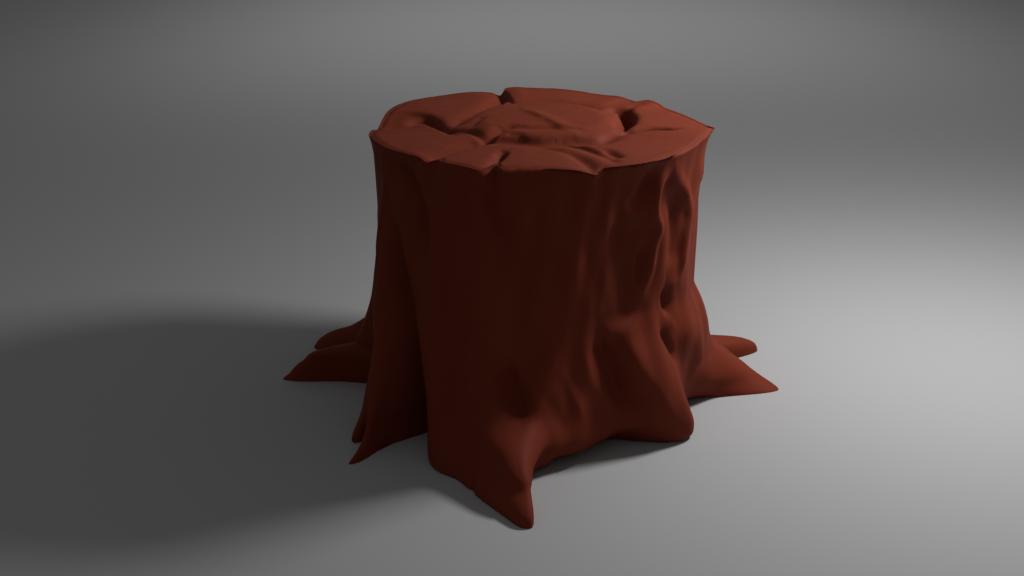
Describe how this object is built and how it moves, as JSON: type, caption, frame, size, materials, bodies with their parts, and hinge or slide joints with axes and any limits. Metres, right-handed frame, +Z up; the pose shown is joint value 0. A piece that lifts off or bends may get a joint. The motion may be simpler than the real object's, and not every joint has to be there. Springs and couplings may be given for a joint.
{
  "type": "tree stump",
  "caption": "Sawn tree stump with a flared, folded trunk, a split and sunken cut face and spreading surface roots, standing on its flat underside.",
  "frame": {"origin": "on the ground, under the middle of the trunk", "axes": "+Z up the trunk, -Y towards the longest front root, +X towards the pointed right root"},
  "size_m": [0.9648, 0.9461, 0.5363],
  "materials": {
    "stump_wood": "matt, dark reddish brown, weathered smooth"
  },
  "bodies": {
    "root": {"stump": "stump_wood"}
  },
  "joints": []
}
